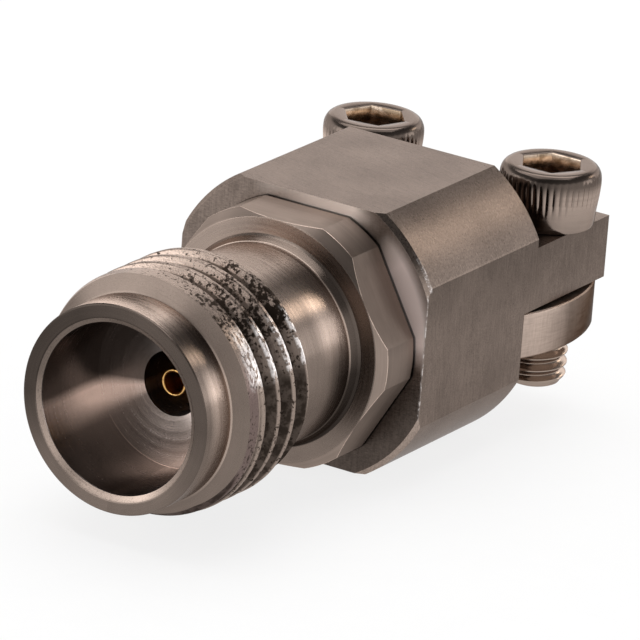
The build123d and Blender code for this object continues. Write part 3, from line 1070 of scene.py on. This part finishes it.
def body_sides(g, colour):
    """The body's sides, darker towards the top, and the grain of its round corner on the upper right,
    lighter in its lower half as a painted highlight.
    """
    z = g.split(g.mm)[2]
    nx, ny, nz = g.facing()
    flat = g.above(g.math("ABSOLUTE", nx), 0.99)
    colour = g.toned(colour, flat, g.graded(z, 4.0, (0.05, 1.08), (0.5, 0.8)))
    corner = g.times(g.within(nx, 0.46, 0.89), g.within(nz, 0.46, 0.88), g.within(ny, -0.2, 0.2))
    lower = g.ramp(nz, (0.6, 1.0), (0.8, 0.0))
    grain = g.ramp(g.noise(g.mm, 15.0, 3.0, 0.6), (0.4, 0.88), (0.6, 1.06))
    return g.toned(colour, corner, g.times(g.blend(grain, lower, 0.85), 0.88))


def body_zones(g, colour, roughness):
    """The body's zones: painted shade on the top, and the front face, front edges, sides and round corner.
    """
    turn = turn_share(g)
    around = g.vector("LENGTH", g.scaled(g.mm, (1.0, 0.0, 1.0)), out="Value")
    colour = g.toned(colour, g.above(g.facing()[2], 0.99), TOP_SHADE)
    colour, roughness = front_face(g, turn, around, colour, roughness)
    colour = front_edges(g, turn, around, colour)
    return body_sides(g, colour), roughness


# The bar's right end has a painted highlight in front and painted shade behind
BAR_REACH = 20.0
BAR_END_TONES = ((0.768, 1.3), (0.8, 1.08), (0.822, 0.85), (0.836, 0.6), (0.9, 0.72))


def bar_zones(g, colour, roughness):
    right_end = g.ramp(g.facing()[0], (0.5, 0.0), (0.65, 1.0))
    tone = g.graded(g.split(g.mm)[1], BAR_REACH, *BAR_END_TONES)
    return g.toned(colour, right_end, tone), roughness


def smooth_solid(name, tones, rough, coat=0.0):
    """Moulded plastic, or glass under a clear coat."""
    g = material_graph(name)
    grain = g.noise(g.mm, 12.0, 4.0, 0.6)
    patch = g.noise(g.mm, 1.5, 2.0, 0.5)
    g.set("Base Color", g.ramp(g.blend(grain, patch, 0.5), (0.35, tones[0]), (0.65, tones[1])))
    g.set("Roughness", g.ramp(grain, (0.3, rough[0]), (0.7, rough[1])))
    g.set("Normal", g.bump(grain, 0.1, 0.02))
    g.set("Coat Weight", coat)
    return g.material


# The materials, each with its darkest and its lightest tone and its range of roughness

AXIS = (0.0, 0.0, 0.0)
shell_shades = (shade(WARM, 0.165), shade(WARM, 0.225))
# painted light: the mouth's steel is a lighter copy of the shell's, against the shade inside the mouth
mouth_shades = (shade(MOUTH_TONE, 0.5), shade(MOUTH_TONE, 0.62))
body_shades = (shade(WARM, 0.14), shade(WARM, 0.25))
bar_shades = (shade(WARM, 0.3), shade(WARM, 0.4))
screw_shades = (shade(WARM, 0.3), shade(WARM, 0.42))
gold_shades = ((0.6, 0.33, 0.1), (0.84, 0.53, 0.22))
bead_shades = ((0.3, 0.15, 0.035), (0.42, 0.23, 0.06))
glass_shades = ((0.05, 0.075, 0.07), (0.09, 0.13, 0.12))


def screw_steel(name, x):
    centre = (x, SCREW_Y, 0.0)
    return turned_metal(name, "z", centre, screw_shades, (0.14, 0.26), relief=0.05, stretch=0.0,
                        wear=screw_tones)


shell_steel = turned_metal("turned_steel", "y", AXIS, shell_shades, (0.22, 0.32), wear=thread_light_and_wear)
mouth_steel_lit = turned_metal("mouth_steel_lit", "y", AXIS, mouth_shades, (0.18, 0.28), relief=0.1,
                           wear=mouth_painted_light)
body_steel = milled_steel("milled_steel", body_shades, (0.26, 0.36), relief=0.22, side_tone=0.8,
                          zones=body_zones)
bar_steel = milled_steel("bar_steel", bar_shades, (0.28, 0.4), grain=(2.0, 2.0, 24.0), zones=bar_zones,
                         edge_tint=shade(EDGE_TINT, 0.25))
left_steel = screw_steel("screw_steel_left", -SCREW_X)
right_steel = screw_steel("screw_steel_right", SCREW_X)
gold = turned_metal("gold_plate", "y", AXIS, gold_shades, (0.14, 0.24), lines=16.0, relief=0.08, stretch=0.0)
bead_plastic = smooth_solid("bead_plastic", bead_shades, (0.35, 0.5))
seal_glass = smooth_solid("seal_glass", glass_shades, (0.08, 0.16), coat=0.6)

# Each row holds the piece, its materials, its body, its slot and the CAD node it stands for; the piece takes
# its materials and its body, and the CAD node is hidden. The slot is not used here.
for obj, materials, where, slot, old in (
    (shell, (shell_steel, mouth_steel_lit), "connector_body", "shell_steel", "coax_shell"),
    (body, (body_steel,), "connector_body", "body_steel", "launch_body"),
    (contact, (gold,), "connector_body", "gold_plate", "centre_contact"),
    (clamp, (bar_steel,), "clamp", "body_steel", "clamp_bar"),
    (screw_left, (left_steel,), "screw_left", "screw_steel", "clamp_screw_left"),
    (screw_right, (right_steel,), "screw_right", "screw_steel", "clamp_screw_right"),
):
    for material in materials:
        obj.data.materials.append(material)
    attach(obj, where)
    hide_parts(old)

# The pieces inside keep their CAD solids
for name, material in (
    ("support_bead", bead_plastic), ("line_sleeve", mouth_steel_lit), ("seal_ring", gold),
    ("glass_bead", seal_glass), ("launch_pin", gold),
):
    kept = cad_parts[name]
    kept.data.materials.clear()
    kept.data.materials.append(material)


# Floor: pale paper

PAPER_HALF = 1.2  # metres
PAPER_GLOW = 0.8  # how much of its shadows the paper hides


def whiten(g, share):
    """Shows the camera and reflections whiter paper than the lamps make, with part of its shadows left."""
    path = g.add("LightPath")
    seen = g.math("ADD", path.outputs["Is Camera Ray"], path.outputs["Is Glossy Ray"])
    seen = g.math("ADD", seen, path.outputs["Is Transmission Ray"], clamp=True)
    white = g.add("Emission")
    mixed = g.add("MixShader")
    g.put(g.times(seen, share), mixed.inputs[0])
    g.put(g.shader.outputs[0], mixed.inputs[1])
    g.put(white.outputs[0], mixed.inputs[2])
    g.put(mixed.outputs[0], g.tree.nodes["Material Output"].inputs["Surface"])


def make_floor():
    bm = bmesh.new()
    bmesh.ops.create_grid(bm, x_segments=8, y_segments=8, size=PAPER_HALF)
    bmesh.ops.translate(bm, vec=(0, 0, -BODY_HALF_HEIGHT * MM), verts=bm.verts)
    obj = add_object("floor", to_mesh("floor", bm))
    g = material_graph("paper")
    fibre = g.noise(g.mm, 0.9, 4.0, 0.6)
    g.set("Base Color", g.ramp(fibre, (0.3, 0.9), (0.7, 0.93)))
    g.set("Roughness", 0.9)
    g.set("Specular IOR Level", 0.1)
    whiten(g, PAPER_GLOW)
    obj.data.materials.append(g.material)


# World: pale walls under a darker ceiling. Height runs from 0 straight down to 1 straight up.

WALLS = ((0.48, 0.9), (0.51, 1.0), (0.69, 1.0), (0.76, 0.28), (1.0, 0.25))


def make_world():
    world = bpy.data.worlds.new("studio")
    bpy.context.scene.world = world
    g = Graph(world, "Background")
    upward = g.split(g.coord.outputs["Generated"])[2]
    height = g.math("ADD", g.times(upward, 0.5), 0.5)
    g.set("Color", g.ramp(height, *WALLS))
    g.set("Strength", 1.0)


# Lamps: soft panels round the object, placed by bearing (0 is +Y, 90 is +X) and height in degrees.
# Their distance, width and height are metres.

MIDDLE = Vector((0, 0.009, 0))


def panel(name, bearing, height, distance, width, tall, brightness, colour=(1.0, 1.0, 1.0)):
    b, h = math.radians(bearing), math.radians(height)
    direction = Vector((math.sin(b) * math.cos(h), math.cos(b) * math.cos(h), math.sin(h)))
    data = bpy.data.lights.new(name, "AREA")
    data.shape = "RECTANGLE"
    data.size = width
    data.size_y = tall
    data.energy = brightness * math.pi * width * tall
    data.color = colour
    obj = add_object(name, data)
    obj.location = MIDDLE + direction * distance
    obj.rotation_mode = "QUATERNION"
    obj.rotation_quaternion = direction.to_track_quat("Z", "Y")


def make_lamps():
    panel("overhead", -45, 75, 0.6, 0.6, 0.6, 2.6)
    panel("back_wall", -14, 17, 0.6, 0.84, 0.3, 1.3)
    panel("right_window", 52, 12, 0.55, 0.2, 0.2, 1.9)
    panel("warm_spot", 25, 28, 0.55, 0.15, 0.085, 4.2, (1.0, 0.88, 0.74))
    panel("front_wall", -140, 16, 0.6, 0.56, 0.32, 1.4)


# Camera at the photograph's angle, aimed a little off the middle as the photograph is

CAMERA_SIDE, CAMERA_HEIGHT, CAMERA_ROLL = 31.262, 19.652, 4.368  # degrees
CAMERA_DISTANCE = 0.22
AIM_RIGHT, AIM_UP = 0.6715, 0.1919
LENS, SENSOR = 448.3, 36.0


def make_camera():
    az, el, roll = (math.radians(angle) for angle in (CAMERA_SIDE, CAMERA_HEIGHT, CAMERA_ROLL))
    away = Vector((math.sin(az) * math.cos(el), -math.cos(az) * math.cos(el), math.sin(el)))
    right = Vector((math.cos(az), math.sin(az), 0))
    up = away.cross(right)
    right, up = math.cos(roll) * right + math.sin(roll) * up, math.cos(roll) * up - math.sin(roll) * right
    place = MIDDLE + away * CAMERA_DISTANCE
    aim = MIDDLE + (AIM_RIGHT * right + AIM_UP * up) * MM
    away = (place - aim).normalized()
    up = (up - away * up.dot(away)).normalized()
    right = up.cross(away)
    camera = add_object("camera", bpy.data.cameras.new("camera"))
    camera.data.lens = LENS
    camera.data.sensor_width = SENSOR
    camera.data.clip_start = 0.01
    camera.data.clip_end = 10.0
    rows = [(right[k], up[k], away[k], place[k]) for k in range(3)]
    camera.matrix_world = Matrix((*rows, (0, 0, 0, 1)))
    bpy.context.scene.camera = camera
    bpy.context.scene.view_settings.view_transform = "Standard"


make_floor()
make_world()
make_lamps()
make_camera()
